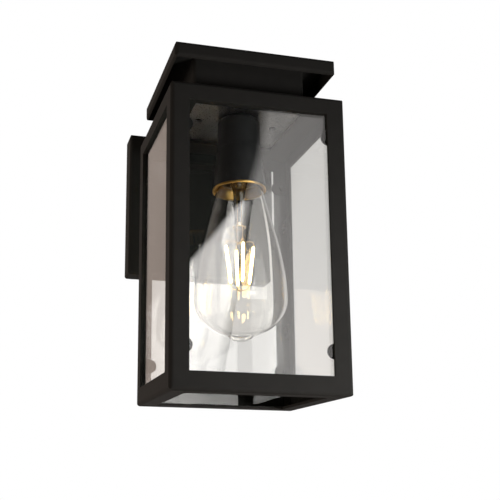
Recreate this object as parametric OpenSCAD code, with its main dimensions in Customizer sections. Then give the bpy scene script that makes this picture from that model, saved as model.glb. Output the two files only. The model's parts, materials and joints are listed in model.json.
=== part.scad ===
// Outdoor wall lantern: an open-bottomed glazed steel cage that hangs from a
// short arm, with a screw-in filament lamp inside and a shallow wall box behind.
// Frame: +X right, +Z up, the front faces -Y and the wall is the plane y = 0.
// The origin is the middle of the wall fixing. All sizes are in millimetres.

/* [Cage] */
// Width of the cage, left to right
cage_w = 120; // [116:1:136]
// Depth of the cage, front to back
cage_d = 105; // [102:1:120]
// Height of the cage
cage_h = 202; // [200:1:240]
// Distance from the wall to the back of the cage
wall_gap = 55; // [50:1:80]
// How far the bottom of the cage hangs below the middle of the wall fixing
cage_drop = 172; // [171:0.5:173]
// Width of the flanges of the frame's angle sections
flange_w = 12.5; // [12:0.5:14]
// Height of the upper rails
top_rail_h = 12; // [11:0.5:14]
// Thickness of the frame's sheet steel
sheet_t = 2; // [2:0.1:2.2]
// Radius of the frame's outer edges
edge_r = 2.8; // [1:0.1:3]

/* [Glazing] */
// Thickness of the window panes
pane_t = 3; // [2.8:0.1:3]
// Distance from a cage corner to the upright edge of a pane
pane_inset = 8.3; // [8.3:0.1:9]
// Diameter of the round nose of a glass clip
nose_d = 10; // [8:0.5:11]
// How far a glass clip reaches in from the cage corner
clip_reach = 15.6; // [14:0.2:17]
// Thickness of a glass clip
clip_t = 1.2; // [1:0.1:1.3]

/* [Roof] */
// Distance from the cage's sides to the neck's sides
neck_inset = 20; // [18:1:22]
// Height of neck that shows between the cage and the roof
neck_gap = 19; // [14:1:24]
// Distance from the cage's sides to the roof's sides
roof_inset = 3.5; // [3:0.5:8]
// Height of the roof's turned-down skirt
roof_skirt = 11.5; // [8:0.5:14]
// Radius of the roof's outer edges
roof_edge_r = 3.0; // [1:0.1:3.2]
// Thickness of the roof, neck and wall box sheet
tray_t = 1.5; // [1.5:0.1:2]

/* [Wall box] */
// Width of the wall box
box_w = 122; // [110:1:140]
// Height of the wall box
box_h = 119; // [119:1:130]
// Depth of the wall box
box_d = 17; // [16:0.5:20]
// Distance between the two wall screw slots
slot_spacing = 60; // [56:1:64]
// Width of a wall screw slot
slot_w = 5; // [4.5:0.1:5.5]
// Length of a wall screw slot
slot_len = 12; // [10:0.5:14]
// Diameter of the cable hole in the bracket
cable_hole_d = 20; // [18:0.5:22]

/* [Lamp] */
// Distance from the front of the cage to the lamp's axis
lamp_setback = 46; // [44:0.5:50]
// Largest diameter of the bulb
bulb_d = 64; // [60:1:64]
// Length of the bulb from its contact to its tip
bulb_len = 140; // [138:1:142]
// Diameter of the lampholder's mouth
holder_mouth_d = 37.6; // [37.4:0.1:41]

/* [Hidden] */
$fn = 64;

// Cage places
cage_x = cage_w / 2;
cage_front = -(wall_gap + cage_d);
cage_back = -wall_gap;
cage_mid_y = (cage_front + cage_back) / 2;
cage_z0 = -cage_drop;
cage_z1 = cage_z0 + cage_h;
plate_z0 = cage_z1 - 2 * sheet_t; // underside of the plate that closes the cage's top

// Clip places
stud_d = 3;
stud_inset = pane_inset - stud_d / 2 - 0.2; // stud stands just clear of the pane's edge
clip_low_z = cage_z0 + 29;
clip_high_z = cage_z0 + 174.5;
side_clip_low_z = cage_z0 + 60;
side_clip_high_z = cage_z0 + 143;
nut_h = 2;
nut_af = 5.5;

// Neck and roof places
neck_w = cage_w - 2 * neck_inset;
neck_d = cage_d - 2 * neck_inset;
neck_z0 = cage_z1 - sheet_t;
roof_z0 = cage_z1 + neck_gap;
roof_z1 = roof_z0 + roof_skirt;
neck_z1 = roof_z1 - tray_t;
neck_back = cage_back - neck_inset;

// Arm places
arm_w = 40;
arm_h = 16;
arm_z = 39;
arm_r = 2;
arm_plate_t = 3;
arm_screw_x = 13;
arm_hole_d = 8;
box_front = -box_d;
box_mid_z = -2.5; // the box hangs a little lower than its fixing
box_z0 = box_mid_z - box_h / 2;
box_z1 = box_mid_z + box_h / 2;
box_inner = box_front + tray_t;

// Wall bracket places
bracket_w = 36;
bracket_t = 2;
bracket_z0 = box_z0 + tray_t;
bracket_z1 = 50;
foot_d = 11;
box_screw_y = -7;
m4_d = 4;
m4_clear_d = 4.4;

// Terminal block places
block_x0 = -45.5;
block_w = 15;
block_d = 10;
block_pitch = 9;
block_ways = 3;
block_h = block_pitch * block_ways;
insert_d = 5;
insert_bore = 2.8;

// Lamp places: heights are measured from the middle of the lampholder's thread
lamp_y = cage_front + lamp_setback;
lamp_z = -3.2;
tip_z = -128.7;
contact_z = tip_z + bulb_len;
cap_z0 = -15.5;
cap_r = 13.1;
widest_z = -99.5;
neck_glass_z = -22;
neck_glass_r = 16.6;
neck_slope = 0.24;
dome_h = 26.3;
nub_r = 9;
glass_t = 0.9;
holder_z0 = -21.5;
holder_z1 = 32;
holder_plate_t = 2;
filament_top_z = -60.3;
filament_low_z = -89.3;
filament_top_r = 9.9;
filament_low_r = 6.3;
filament_turn = -94; // angle of the first filament about the lamp's axis
stem_tail_r = 1.3;

// Wire places
wire_d = 2.2;

coat = [0.09, 0.09, 0.085];
steel = [0.62, 0.63, 0.64];
brass = [0.78, 0.62, 0.30];

// ---- Shared shapes ----

// Rectangle centred on the origin, with round corners
module round_rect(w, d, r) {
    square([w - 2 * r, d], center = true);
    square([w, d - 2 * r], center = true);
    for (sx = [-1, 1], sy = [-1, 1])
        translate([sx * (w / 2 - r), sy * (d / 2 - r)])
            circle(r);
}

// Block centred on the origin, with all of its edges rounded
module round_block(w, d, h, r) {
    intersection() {
        linear_extrude(h, center = true) round_rect(w, d, r);
        rotate([90, 0, 0]) linear_extrude(d, center = true) round_rect(w, h, r);
        rotate([0, 90, 0]) linear_extrude(w, center = true) round_rect(h, d, r);
    }
}

// Straight round rod between two points
module rod(a, b, r) {
    d = b - a;
    len = norm(d);
    translate(a)
        rotate([0, acos(d[2] / len), atan2(d[1], d[0])])
            cylinder(h = len, r = r);
}

// Box given by its lowest and highest corners
module span_box(lo, hi) {
    translate(lo)
        cube(hi - lo);
}

// Places a child, drawn for the front left corner from its outer faces, at a corner
module at_corner(sx, sy) {
    translate([0, cage_mid_y, 0])
        mirror([sx > 0 ? 1 : 0, 0, 0])
            mirror([0, sy > 0 ? 1 : 0, 0])
                translate([-cage_x, -cage_d / 2, 0])
                    children();
}

// Trims a frame section to the cage's rounded outside
module frame_section() {
    color(coat)
        intersection() {
            children();
            translate([0, cage_mid_y, (cage_z0 + cage_z1) / 2])
                round_block(cage_w, cage_d, cage_h, edge_r);
        }
}

// ---- Frame ----

module post(sx, sy) {
    frame_section()
        at_corner(sx, sy)
            translate([0, 0, cage_z0])
                linear_extrude(cage_h)
                    difference() {
                        square(flange_w);
                        translate([sheet_t, sheet_t])
                            square(flange_w);
                    }
}

// Front or back rail: an upright flange and a level one, which meet at the outside
module rail_x(sy, upper) {
    h = upper ? top_rail_h : flange_w;
    z0 = upper ? cage_z1 - h : cage_z0;
    level_z = upper ? cage_z1 - sheet_t : cage_z0;
    frame_section()
        at_corner(-1, sy) {
            span_box([flange_w, 0, z0], [cage_w - flange_w, sheet_t, z0 + h]);
            span_box([sheet_t, sheet_t, level_z], [cage_w - sheet_t, flange_w, level_z + sheet_t]);
        }
}

// Left or right rail: its level flange fits between those of the front and back rails
module rail_y(sx, upper) {
    h = upper ? top_rail_h : flange_w;
    z0 = upper ? cage_z1 - h : cage_z0;
    level_z = upper ? cage_z1 - sheet_t : cage_z0;
    frame_section()
        at_corner(sx, -1) {
            span_box([0, flange_w, z0], [sheet_t, cage_d - flange_w, z0 + h]);
            span_box([0, flange_w, level_z], [flange_w, cage_d - flange_w, level_z + sheet_t]);
        }
}

module post_front_left() post(-1, -1);
module post_front_right() post(1, -1);
module post_back_left() post(-1, 1);
module post_back_right() post(1, 1);
module bottom_rail_front() rail_x(-1, false);
module bottom_rail_back() rail_x(1, false);
module bottom_rail_left() rail_y(-1, false);
module bottom_rail_right() rail_y(1, false);
module top_rail_front() rail_x(-1, true);
module top_rail_back() rail_x(1, true);
module top_rail_left() rail_y(-1, true);
module top_rail_right() rail_y(1, true);

// Plate under the top rails' level flanges, open into the neck
module top_plate() {
    color(coat)
        translate([0, cage_mid_y, plate_z0])
            linear_extrude(sheet_t)
                difference() {
                    square([cage_w - 2 * sheet_t, cage_d - 2 * sheet_t], center = true);
                    square([neck_w - 2 * sheet_t, neck_d - 2 * sheet_t], center = true);
                }
}

// Rectangular tube between the cage and the roof, with a wire hole into the arm
module neck() {
    color(coat)
        difference() {
            translate([0, cage_mid_y, neck_z0])
                linear_extrude(neck_z1 - neck_z0)
                    difference() {
                        round_rect(neck_w, neck_d, edge_r);
                        square([neck_w - 2 * sheet_t, neck_d - 2 * sheet_t], center = true);
                    }
            translate([0, neck_back + 1, arm_z])
                rotate([90, 0, 0])
                    cylinder(h = sheet_t + 2, d = arm_hole_d);
        }
}

// Flat roof with a turned-down skirt, open below
module roof() {
    roof_w = cage_w - 2 * roof_inset;
    roof_d = cage_d - 2 * roof_inset;
    color(coat)
        translate([0, cage_mid_y, 0])
            difference() {
                translate([0, 0, (roof_z0 + roof_z1) / 2])
                    round_block(roof_w, roof_d, roof_skirt, roof_edge_r);
                translate([0, 0, roof_z0 - 1])
                    linear_extrude(roof_skirt + 1 - tray_t)
                        square([roof_w - 2 * tray_t, roof_d - 2 * tray_t], center = true);
            }
}

// Plate across the neck that the lampholder hangs from
module holder_plate() {
    color(steel)
        translate([0, cage_mid_y, holder_z1 + lamp_z])
            difference() {
                linear_extrude(holder_plate_t)
                    square([neck_w - 2 * sheet_t, neck_d - 2 * sheet_t], center = true);
                translate([0, lamp_y - cage_mid_y, -1])
                    cylinder(h = holder_plate_t + 2, d = 10);
                for (sx = [-1, 1])
                    translate([sx * 28, 0, -1])
                        cylinder(h = holder_plate_t + 2, d = 6);
            }
}

// ---- Arm ----

// Tube from the neck's back wall to the wall box
module arm() {
    color(coat)
        translate([0, box_front, arm_z])
            rotate([90, 0, 0])
                linear_extrude(box_front - neck_back)
                    difference() {
                        round_rect(arm_w, arm_h, arm_r);
                        square([arm_w - 2 * tray_t, arm_h - 2 * tray_t], center = true);
                    }
}

// Threaded plate welded inside the arm's wall end
module arm_end_plate() {
    color(steel)
        translate([0, box_front, arm_z])
            rotate([90, 0, 0])
                linear_extrude(arm_plate_t)
                    difference() {
                        square([arm_w - 2 * tray_t, arm_h - 2 * tray_t], center = true);
                        circle(d = arm_hole_d);
                        for (sx = [-1, 1])
                            translate([sx * arm_screw_x, 0])
                                circle(d = m4_d);
                    }
}

// Screws that clamp the arm to the wall box, fitted from inside the box
module arm_screws() {
    head_h = 2.4;
    color(steel)
        for (sx = [-1, 1])
            translate([sx * arm_screw_x, box_inner, arm_z])
                rotate([90, 0, 0]) {
                    cylinder(h = 7, d = m4_d);
                    difference() {
                        translate([0, 0, -head_h])
                            cylinder(h = head_h, d = 8);
                        translate([0, 0, -head_h / 2 - 0.5])
                            cube([1, 5, head_h], center = true);
                        translate([0, 0, -head_h / 2 - 0.5])
                            cube([5, 1, head_h], center = true);
                    }
                }
}

// Rubber sleeve that guards the wires where they enter the wall box
module cable_grommet() {
    color([0.12, 0.12, 0.12])
        translate([0, box_inner, arm_z])
            rotate([90, 0, 0])
                difference() {
                    union() {
                        cylinder(h = tray_t + arm_plate_t, d = arm_hole_d);
                        translate([0, 0, -1.2])
                            cylinder(h = 1.2, d = 12);
                    }
                    translate([0, 0, -2])
                        cylinder(h = 12, d = 5.6);
                }
}

// ---- Wall box ----

// Tray that covers the wall fixing, open towards the wall
module backplate() {
    corner = 2;
    color(coat)
        difference() {
            // rounded block is twice as deep, so that only its front edges stay round
            intersection() {
                translate([0, 0, box_mid_z])
                    round_block(box_w, 2 * box_d, box_h, corner);
                span_box([-box_w, box_front, -box_h], [box_w, 0, box_h]);
            }
            span_box([-box_w / 2 + tray_t, box_inner, box_z0 + tray_t],
                     [box_w / 2 - tray_t, 1, box_z1 - tray_t]);
            translate([0, box_front - 1, arm_z])
                rotate([-90, 0, 0])
                    cylinder(h = tray_t + 2, d = arm_hole_d);
            for (sx = [-1, 1])
                translate([sx * arm_screw_x, box_front - 1, arm_z])
                    rotate([-90, 0, 0])
                        cylinder(h = tray_t + 2, d = m4_clear_d);
            translate([0, box_screw_y, box_z0 - 1])
                cylinder(h = tray_t + 2, d = m4_clear_d);
        }
}

// Two hooks under the box's top wall, which hang on the bracket's upper edge
module backplate_hooks() {
    color(coat)
        for (sx = [-1, 1])
            translate([sx * 11 - 3, 0, 0]) {
                span_box([0, -4.5, bracket_z1 - 5], [6, -bracket_t - 0.5, box_z1 - tray_t]);
                span_box([0, -bracket_t - 0.5, bracket_z1], [6, -0.2, box_z1 - tray_t]);
            }
}

// Strap that is screwed to the wall, with two slots and a cable hole
module wall_bracket() {
    color(steel)
        difference() {
            span_box([-bracket_w / 2, -bracket_t, bracket_z0], [bracket_w / 2, 0, bracket_z1]);
            rotate([90, 0, 0])
                translate([0, 0, -1])
                    cylinder(h = bracket_t + 2, d = cable_hole_d);
            for (sz = [-1, 1]) {
                for (end = [-1, 1])
                    translate([0, 1, sz * slot_spacing / 2 + end * (slot_len - slot_w) / 2])
                        rotate([90, 0, 0])
                            cylinder(h = bracket_t + 2, d = slot_w);
                translate([0, -bracket_t / 2, sz * slot_spacing / 2])
                    cube([slot_w, bracket_t + 2, slot_len - slot_w], center = true);
            }
        }
}

// Threaded foot welded to the strap's lower end, for the screw that holds the box
module bracket_foot() {
    color(steel)
        difference() {
            span_box([-9, -bracket_t - foot_d, bracket_z0], [9, -bracket_t, bracket_z0 + bracket_t]);
            translate([0, box_screw_y, bracket_z0 - 1])
                cylinder(h = bracket_t + 2, d = m4_d);
        }
}

// Screw through the box's bottom wall into the bracket's foot
module backplate_screw() {
    head_h = 2.2;
    color(coat)
        translate([0, box_screw_y, box_z0]) {
            cylinder(h = 7, d = m4_d);
            difference() {
                translate([0, 0, -head_h])
                    cylinder(h = head_h, d = 7.6);
                translate([0, 0, -head_h])
                    cylinder(h = 2.6, d = 2.8, center = true, $fn = 6);
            }
        }
}

// Earth screw, nut-plate and washer on the box's inner face
module earth_screw() {
    color(brass)
        translate([40, box_inner, 20])
            rotate([-90, 0, 0])
                difference() {
                    union() {
                        cylinder(h = 3, d = 9, $fn = 6);
                        cylinder(h = 6, d = m4_d);
                        translate([0, 0, 6])
                            cylinder(h = 2.4, d = 8);
                    }
                    translate([0, 0, 8.4])
                        cube([10, 1.2, 2], center = true);
                }
}

// Three-way connector: side tunnels for the brass inserts, wells for the screws
module terminal_block() {
    color([0.88, 0.87, 0.83])
        difference() {
            span_box([block_x0, box_inner, -block_h / 2],
                     [block_x0 + block_w, box_inner + block_d, block_h / 2]);
            for (i = [-1:1]) {
                translate([block_x0 - 1, box_inner + 4, i * block_pitch])
                    rotate([0, 90, 0])
                        cylinder(h = block_w + 2, d = insert_d);
                for (sx = [-1, 1])
                    translate([block_x0 + block_w / 2 + sx * 4, box_inner + 4, i * block_pitch])
                        rotate([-90, 0, 0])
                            cylinder(h = block_d, d = 4);
            }
            for (i = [-0.5, 0.5])
                translate([block_x0 + block_w / 2, box_inner + block_d, i * block_pitch])
                    cube([block_w + 2, 4, 1.6], center = true);
        }
}

module terminal_inserts() {
    color(brass)
        for (i = [-1:1])
            difference() {
                translate([block_x0 + 1, box_inner + 4, i * block_pitch])
                    rotate([0, 90, 0])
                        cylinder(h = block_w - 2, d = insert_d);
                translate([block_x0, box_inner + 4, i * block_pitch])
                    rotate([0, 90, 0])
                        cylinder(h = block_w, d = insert_bore);
                for (sx = [-1, 1])
                    translate([block_x0 + block_w / 2 + sx * 4, box_inner + 4, i * block_pitch])
                        rotate([-90, 0, 0])
                            cylinder(h = block_d, d = 2.6);
            }
}

module terminal_screws() {
    color(steel)
        for (i = [-1:1], sx = [-1, 1])
            translate([block_x0 + block_w / 2 + sx * 4, box_inner, i * block_pitch])
                rotate([-90, 0, 0])
                    difference() {
                        union() {
                            translate([0, 0, 5.2])
                                cylinder(h = 2, d = 2.6);
                            translate([0, 0, 6.6])
                                cylinder(h = 2.4, d = 3.6);
                        }
                        translate([0, 0, 9])
                            cube([5, 0.8, 1.6], center = true);
                    }
}

// ---- Glazing ----

module pane_x(y0) {
    color([0.85, 0.93, 0.92, 0.3])
        span_box([-cage_x + pane_inset, y0, cage_z0 + sheet_t],
                 [cage_x - pane_inset, y0 + pane_t, plate_z0 - 0.5]);
}

module pane_y(x0) {
    color([0.85, 0.93, 0.92, 0.3])
        span_box([x0, cage_front + pane_inset, cage_z0 + sheet_t],
                 [x0 + pane_t, cage_back - pane_inset, plate_z0 - 0.5]);
}

module glass_front() pane_x(cage_front + sheet_t);
module glass_back() pane_x(cage_back - sheet_t - pane_t);
module glass_left() pane_y(-cage_x + sheet_t);
module glass_right() pane_y(cage_x - sheet_t - pane_t);

// Flat clip with a round nose, drawn on the corner's front face
module nosed_clip() {
    y0 = sheet_t + pane_t;
    translate([0, y0 + clip_t, 0])
        rotate([90, 0, 0])
            linear_extrude(clip_t)
                difference() {
                    union() {
                        translate([3, -nose_d / 2])
                            square([clip_reach - nose_d / 2 - 3, nose_d]);
                        translate([clip_reach - nose_d / 2, 0])
                            circle(d = nose_d);
                    }
                    translate([stud_inset, 0])
                        circle(d = stud_d);
                }
}

// Short clip for a side pane, hidden behind the post's flange
module short_clip() {
    x0 = sheet_t + pane_t;
    translate([x0, 0, 0])
        rotate([90, 0, 90])
            linear_extrude(clip_t)
                difference() {
                    translate([3, -5])
                        square([flange_w - 4, 10]);
                    translate([stud_inset, 0])
                        circle(d = stud_d);
                }
}

module clips_x(sy) {
    color(coat)
        for (sx = [-1, 1], z = [clip_low_z, clip_high_z])
            at_corner(sx, sy)
                translate([0, 0, z])
                    nosed_clip();
}

module clips_front() clips_x(-1);
module clips_back() clips_x(1);

module clips_side() {
    color(coat)
        for (sx = [-1, 1], sy = [-1, 1], z = [side_clip_low_z, side_clip_high_z])
            at_corner(sx, sy)
                translate([0, 0, z])
                    short_clip();
}

// Places a child, drawn along +Z from the flange's inner face, at every clip
module at_clips() {
    for (sx = [-1, 1], sy = [-1, 1])
        at_corner(sx, sy) {
            for (z = [clip_low_z, clip_high_z])
                translate([stud_inset, sheet_t, z])
                    rotate([-90, 0, 0])
                        children();
            for (z = [side_clip_low_z, side_clip_high_z])
                translate([sheet_t, stud_inset, z])
                    rotate([0, 90, 0])
                        children();
        }
}

module clip_studs() {
    color(coat)
        at_clips()
            cylinder(h = pane_t + clip_t + nut_h + 0.4, d = stud_d);
}

module clip_nuts() {
    color(coat)
        at_clips()
            translate([0, 0, pane_t + clip_t])
                difference() {
                    cylinder(h = nut_h, d = nut_af / cos(30), $fn = 6);
                    translate([0, 0, -1])
                        cylinder(h = nut_h + 2, d = stud_d);
                }
}

// ---- Lampholder ----

module on_lamp_axis() {
    translate([0, lamp_y, lamp_z])
        children();
}

// Black shell, conical below and straight above
module holder_body() {
    mouth_r = holder_mouth_d / 2;
    color([0.04, 0.04, 0.045])
        on_lamp_axis()
            rotate_extrude()
                polygon([
                    [mouth_r, holder_z0 + 1.5], [mouth_r - 0.3, holder_z0 + 4], [15.4, 8],
                    [15, 10], [15, holder_z1 - 3], [13, holder_z1], [5, holder_z1],
                    [5, holder_z1 - 2], [13, holder_z1 - 2], [13, 12], [14.1, 12],
                    [14.1, -12], [mouth_r - 1.3, holder_z0 + 1.5]
                ]);
}

// Brass-coloured reflector ring in the lampholder's mouth
module holder_ring() {
    mouth_r = holder_mouth_d / 2;
    color(brass)
        on_lamp_axis()
            rotate_extrude()
                polygon([
                    [mouth_r, holder_z0], [mouth_r, holder_z0 + 1.5], [mouth_r - 1.3, holder_z0 + 1.5],
                    [14.3, -12.9], [13.9, -12.9], [mouth_r - 1.5, holder_z0 + 0.4], [mouth_r - 1.3, holder_z0]
                ]);
}

module holder_thread() {
    color(brass)
        on_lamp_axis()
            difference() {
                translate([0, 0, -12])
                    cylinder(h = 24, r = 14.1);
                translate([0, 0, -13])
                    cylinder(h = 26, r = 13.5);
            }
}

// Ceramic disc that carries the contacts, bored for the centre rivet
module holder_insulator() {
    color([0.93, 0.92, 0.88])
        on_lamp_axis()
            difference() {
                translate([0, 0, 12])
                    cylinder(h = 6, r = 13);
                translate([0, 0, 11])
                    cylinder(h = 8, r = 1.5);
            }
}

// Centre contact: a round tongue on a rivet
module holder_contact() {
    color(brass)
        on_lamp_axis() {
            translate([0, 0, contact_z + 0.1])
                cylinder(h = 12 - contact_z - 0.1, r = 4.5);
            translate([0, 0, 12])
                cylinder(h = 7, r = 1.5);
        }
}

module holder_terminals() {
    color(brass)
        on_lamp_axis()
            for (sx = [-1, 1])
                difference() {
                    span_box([sx * 7 - 2.5, -3, 18], [sx * 7 + 2.5, 3, 25]);
                    translate([sx * 7, -5, 21])
                        rotate([-90, 0, 0])
                            cylinder(h = 6, d = 2.6);
                }
}

// Hollow threaded tube that the lampholder hangs from
module holder_nipple() {
    color(steel)
        on_lamp_axis()
            translate([0, 0, 26])
                difference() {
                    cylinder(h = 15, d = 10);
                    translate([0, 0, -1])
                        cylinder(h = 17, d = 7);
                }
}

module holder_nuts() {
    color(steel)
        on_lamp_axis()
            for (z = [holder_z1 - 5, holder_z1 + holder_plate_t])
                translate([0, 0, z])
                    difference() {
                        cylinder(h = 3, d = 14 / cos(30), $fn = 6);
                        translate([0, 0, -1])
                            cylinder(h = 5, d = 10);
                    }
}

// ---- Bulb ----

// Smooth step between two values with a given starting slope
function blend_r(t, r0, r1, rise) =
    (2 * t * t * t - 3 * t * t + 1) * r0
    + (t * t * t - 2 * t * t + t) * rise
    + (3 * t * t - 2 * t * t * t) * r1;

// Outline of the bulb's glass, shrunk by t, from the neck down to the tip
function bulb_outline(t) =
    let (
        r1 = bulb_d / 2 - t,
        fall = neck_glass_z - widest_z,
        end_a = acos((nub_r - t) / r1),
        nub_z = widest_z - (dome_h - t) * sin(end_a),
        neck = [[12.5 - t, -8], [12.5 - t, -15.5], [13.6 - t, -17.6], [15.3 - t, -19.9]],
        taper = [for (i = [0:14]) let (k = i / 14)
            [blend_r(k, neck_glass_r - t, r1, neck_slope * fall), neck_glass_z - k * fall]],
        dome = [for (i = [1:12]) let (a = end_a * i / 12)
            [r1 * cos(a), widest_z - (dome_h - t) * sin(a)]],
        nub = [for (i = [1:6]) let (a = 90 * i / 6)
            [(nub_r - t) * cos(a), nub_z + (tip_z + t - nub_z) * sin(a)]]
    )
    concat(neck, taper, dome, nub);

function reversed(list) = [for (i = [len(list) - 1:-1:0]) list[i]];

module bulb_glass() {
    color([0.95, 0.93, 0.88, 0.25])
        on_lamp_axis()
            rotate_extrude()
                polygon(concat(bulb_outline(0), reversed(bulb_outline(glass_t))));
}

module bulb_cap() {
    wall = 0.4;
    color([0.80, 0.74, 0.60])
        on_lamp_axis()
            rotate_extrude()
                polygon([
                    [cap_r - wall, cap_z0], [cap_r, cap_z0], [cap_r, 4.5], [11, 6.5],
                    [9, 6.5], [9, 6.1], [10.8, 6.1], [cap_r - wall, 4.2]
                ]);
}

module bulb_insulator() {
    color([0.05, 0.05, 0.06])
        on_lamp_axis()
            rotate_extrude()
                polygon([[0, 6.5], [10.6, 6.5], [8, 8], [4.6, 10.1], [0, 10.1]]);
}

module bulb_contact() {
    color([0.72, 0.72, 0.72])
        on_lamp_axis()
            rotate_extrude()
                polygon([[0, 10.1], [4.4, 10.1], [3.6, 10.9], [2, contact_z], [0, contact_z]]);
}

// Glass stem: a flare at the cap, a tube, a flat press and a short tail
module bulb_stem() {
    color([0.85, 0.85, 0.80, 0.4])
        on_lamp_axis() {
            rotate_extrude()
                polygon([
                    [0, -9], [11.4, -9], [11.4, -10], [6, -14], [4, -22], [3.2, -46], [0, -46]
                ]);
            translate([0, 0, -52])
                cube([6.4, 2.6, 12.2], center = true);
            translate([0, 0, -67.5])
                cylinder(h = 10, r = stem_tail_r);
        }
}

// Corner of the filament cage: its place on the circle of a given radius
function on_circle(i, r, z) =
    [r * cos(filament_turn + 90 * i), r * sin(filament_turn + 90 * i), z];

module bulb_filaments() {
    color([1.0, 0.85, 0.45])
        on_lamp_axis()
            for (i = [0:3])
                rod(on_circle(i, filament_top_r, filament_top_z),
                    on_circle(i, filament_low_r, filament_low_z), 0.9);
}

// Wires that carry the filaments: spokes from a collar on the stem's tail, and a hub below
module bulb_supports() {
    wire_r = 0.25;
    color(steel)
        on_lamp_axis() {
            translate([0, 0, -59.8])
                difference() {
                    cylinder(h = 1.2, r = 1.9);
                    translate([0, 0, -1])
                        cylinder(h = 4, r = stem_tail_r + 0.05);
                }
            for (i = [0:3]) {
                rod(on_circle(i, 1.7, -59.2), on_circle(i, filament_top_r, filament_top_z + 1.2), wire_r);
                rod(on_circle(i, filament_top_r, filament_top_z + 1.4),
                    on_circle(i, filament_top_r, filament_top_z), 0.5);
                rod(on_circle(i, filament_low_r, filament_low_z),
                    on_circle(i, 1.6, filament_low_z - 3.6), wire_r);
            }
            translate([0, 0, filament_low_z - 4.2])
                cylinder(h = 1.2, r = 2);
        }
}

// ---- Wires ----

// Round wire through a list of points
module wire(points, d) {
    for (i = [0:len(points) - 2])
        hull() {
            translate(points[i])
                sphere(d = d, $fn = 8);
            translate(points[i + 1])
                sphere(d = d, $fn = 8);
        }
}

// Route from a lampholder terminal, up the nipple and back through the arm to the block.
// side is -1 or 1 for the terminal, and way is 1 or 0 for the block's upper or middle pole.
function lamp_route(side, way) = [
    [side * 7, lamp_y - 1, lamp_z + 21], [side * 7, lamp_y - 5.5, lamp_z + 21],
    [side * 4.5, lamp_y - 6, lamp_z + 22.8], [side * 1.7, lamp_y - 2.2, lamp_z + 24.4],
    [side * 1.5, lamp_y - 0.5, lamp_z + 26.5], [side * 1.6, lamp_y, lamp_z + 31],
    [side * 1.6, lamp_y, lamp_z + 42], [side * 1.6, lamp_y + 5, lamp_z + 47],
    [side * 1.6, lamp_y + 14, lamp_z + 48], [side * 1.4, lamp_y + 26, 43], [side * 1.2, neck_back, arm_z],
    [side * 1.2, box_front - 8, arm_z], [side * 1.2, box_inner + 3, arm_z],
    [side, box_inner + 6 - 3 * way, arm_z - 3.5 + 3.5 * way],
    [-8, box_inner + 5, arm_z - 5 + 4 * way], [-18 - 4 * way, box_inner + 6, 20 + 4 * way],
    [-24 - 2 * way, box_inner + 4, 2 + 9 * way], [-28 - way, box_inner + 4, way * block_pitch],
    [-35, box_inner + 4, way * block_pitch]
];

module wire_live() {
    color([0.36, 0.20, 0.11])
        wire(lamp_route(-1, 1), wire_d);
}

module wire_neutral() {
    color([0.10, 0.25, 0.62])
        wire(lamp_route(1, 0), wire_d);
}

// Earth wire from the block, under the cable hole, to the earth screw
module wire_earth() {
    color([0.25, 0.55, 0.15])
        wire([
            [-35, box_inner + 4, -block_pitch], [-28, box_inner + 4, -block_pitch],
            [-24, box_inner + 4, -block_pitch - 3], [-14, box_inner + 4, -20],
            [0, box_inner + 4, -24], [18, box_inner + 4, -20],
            [34, box_inner + 4, -4], [40, box_inner + 4.5, 8], [40, box_inner + 4.5, 16.9]
        ], wire_d);
}

post_front_left();
post_front_right();
post_back_left();
post_back_right();
bottom_rail_front();
bottom_rail_back();
bottom_rail_left();
bottom_rail_right();
top_rail_front();
top_rail_back();
top_rail_left();
top_rail_right();
top_plate();
neck();
roof();
holder_plate();
arm();
arm_end_plate();
arm_screws();
cable_grommet();
backplate();
backplate_hooks();
wall_bracket();
bracket_foot();
backplate_screw();
earth_screw();
terminal_block();
terminal_inserts();
terminal_screws();
glass_front();
glass_back();
glass_left();
glass_right();
clips_front();
clips_back();
clips_side();
clip_studs();
clip_nuts();
holder_body();
holder_ring();
holder_thread();
holder_insulator();
holder_contact();
holder_terminals();
holder_nipple();
holder_nuts();
bulb_glass();
bulb_cap();
bulb_insulator();
bulb_contact();
bulb_stem();
bulb_filaments();
bulb_supports();
wire_live();
wire_neutral();
wire_earth();
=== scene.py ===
"""Outdoor wall lantern: finishes, a detailed lamp and wires, and a small studio round the frame."""
import json
import math

import bmesh
import bpy
from mathutils import Matrix, Vector

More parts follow.
